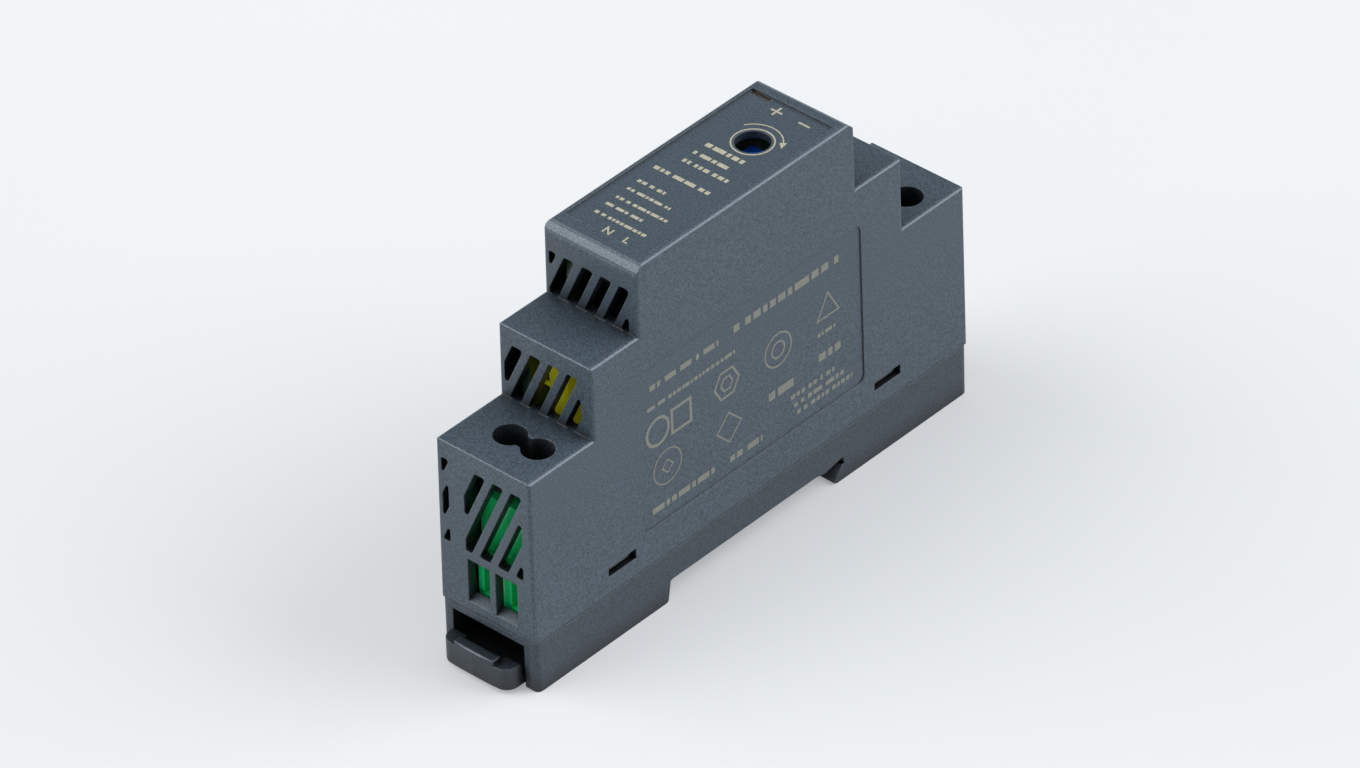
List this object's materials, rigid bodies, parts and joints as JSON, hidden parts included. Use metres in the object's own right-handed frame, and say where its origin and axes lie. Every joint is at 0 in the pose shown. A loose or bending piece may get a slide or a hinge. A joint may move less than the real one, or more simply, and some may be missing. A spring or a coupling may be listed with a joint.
{
  "type": "DIN rail power supply",
  "caption": "Slim one-module DIN rail power supply with a stepped slate-grey case, vented end walls, recessed screw terminals, an adjuster hole and a sprung rail latch.",
  "frame": {"origin": "centre of the rail seat, the flat ceiling of the 35 mm rail slot, midway between the two side faces and the two end faces", "axes": "+X across the width towards the labelled side, +Y along the case from the input terminals and latch to the output terminals, +Z away from the rail towards the nose"},
  "size_m": [0.0176, 0.0935, 0.0589],
  "materials": {
    "case_plastic": "fine spark-eroded satin grain, slate grey",
    "base_plastic": "fine satin grain, slightly darker slate grey",
    "latch_plastic": "satin slate grey",
    "spring_steel": "drawn wire",
    "amber_lens": "dark translucent red-brown",
    "terminal_green": "semi-gloss green",
    "black_epoxy": "moulded black epoxy",
    "blue_coating": "dipped blue epoxy",
    "yellow_box": "moulded yellow",
    "ferrite": "dark grey sintered ferrite",
    "copper": "enamelled copper wire",
    "capacitor_sleeve": "shrunk plastic sleeve",
    "yellow_tape": "polyester tape",
    "trimmer_blue": "blue moulding",
    "board_laminate": "solder-masked laminate",
    "screw_steel": "zinc-plated steel",
    "tinned_metal": "bright tin plating"
  },
  "bodies": {
    "housing": {"casing": "case_plastic", "base": "base_plastic", "latch_spring": "spring_steel", "led_light_pipe": "amber_lens", "input_terminal_block": "terminal_green", "output_terminal_block": "terminal_green", "input_contact_1": "tinned_metal", "input_contact_2": "tinned_metal", "output_contact_1": "tinned_metal", "output_contact_2": "tinned_metal", "fuse": "black_epoxy", "varistor": "blue_coating", "inrush_thermistor": "black_epoxy", "x_capacitor": "yellow_box", "choke_core": "ferrite", "choke_winding_1": "copper", "choke_winding_2": "copper", "bridge_rectifier": "black_epoxy", "bulk_capacitor": "capacitor_sleeve", "transformer_core": "ferrite", "transformer_winding": "yellow_tape", "switching_transistor": "black_epoxy", "controller_chip": "black_epoxy", "optocoupler": "black_epoxy", "y_capacitor": "blue_coating", "output_diode": "black_epoxy", "output_capacitor_1": "capacitor_sleeve", "output_capacitor_2": "capacitor_sleeve", "output_inductor": "ferrite", "trimmer_body": "trimmer_blue", "status_led": "amber_lens", "circuit_board": "board_laminate"},
    "latch": {"rail_latch": "latch_plastic"},
    "trimmer_knob": {"trimmer_rotor": "trimmer_blue"},
    "input_screw_1": {"input_screw_1": "screw_steel"},
    "input_clamp_cage_1": {"input_clamp_cage_1": "tinned_metal"},
    "input_screw_2": {"input_screw_2": "screw_steel"},
    "input_clamp_cage_2": {"input_clamp_cage_2": "tinned_metal"},
    "output_screw_1": {"output_screw_1": "screw_steel"},
    "output_clamp_cage_1": {"output_clamp_cage_1": "tinned_metal"},
    "output_screw_2": {"output_screw_2": "screw_steel"},
    "output_clamp_cage_2": {"output_clamp_cage_2": "tinned_metal"}
  },
  "joints": [
    {"name": "latch_pull", "type": "slide", "parent": "housing", "child": "latch", "axis": [0, -1, 0], "range_m": [0, 0.004], "stiffness_N_per_m": 400, "springref_m": -0.004, "deforming": ["latch_spring"]},
    {"name": "trimmer_turn", "type": "hinge", "parent": "housing", "child": "trimmer_knob", "pos_m": [0.00075, 0.01005, 0.0515], "axis": [0, 0, 1], "range_deg": [-130, 130]},
    {"name": "input_screw_1_turn", "type": "hinge", "parent": "housing", "child": "input_screw_1", "pos_m": [-0.00114, -0.0379, 0.0212], "axis": [0, 0, -1], "range_deg": [0, 1729]},
    {"name": "input_clamp_cage_1_lift", "type": "slide", "parent": "housing", "child": "input_clamp_cage_1", "axis": [0, 0, 1], "range_m": [0, 0.0024]},
    {"name": "input_screw_2_turn", "type": "hinge", "parent": "housing", "child": "input_screw_2", "pos_m": [0.00394, -0.0379, 0.0212], "axis": [0, 0, -1], "range_deg": [0, 1729]},
    {"name": "input_clamp_cage_2_lift", "type": "slide", "parent": "housing", "child": "input_clamp_cage_2", "axis": [0, 0, 1], "range_m": [0, 0.0024]},
    {"name": "output_screw_1_turn", "type": "hinge", "parent": "housing", "child": "output_screw_1", "pos_m": [-0.00114, 0.0379, 0.0212], "axis": [0, 0, -1], "range_deg": [0, 1729]},
    {"name": "output_clamp_cage_1_lift", "type": "slide", "parent": "housing", "child": "output_clamp_cage_1", "axis": [0, 0, 1], "range_m": [0, 0.0024]},
    {"name": "output_screw_2_turn", "type": "hinge", "parent": "housing", "child": "output_screw_2", "pos_m": [0.00394, 0.0379, 0.0212], "axis": [0, 0, -1], "range_deg": [0, 1729]},
    {"name": "output_clamp_cage_2_lift", "type": "slide", "parent": "housing", "child": "output_clamp_cage_2", "axis": [0, 0, 1], "range_m": [0, 0.0024]}
  ],
  "couplings": [
    {"joint": "input_screw_1_turn", "follows": "input_clamp_cage_1_lift", "rad_per_m": 12566},
    {"joint": "input_screw_2_turn", "follows": "input_clamp_cage_2_lift", "rad_per_m": 12566},
    {"joint": "output_screw_1_turn", "follows": "output_clamp_cage_1_lift", "rad_per_m": 12566},
    {"joint": "output_screw_2_turn", "follows": "output_clamp_cage_2_lift", "rad_per_m": 12566}
  ]
}
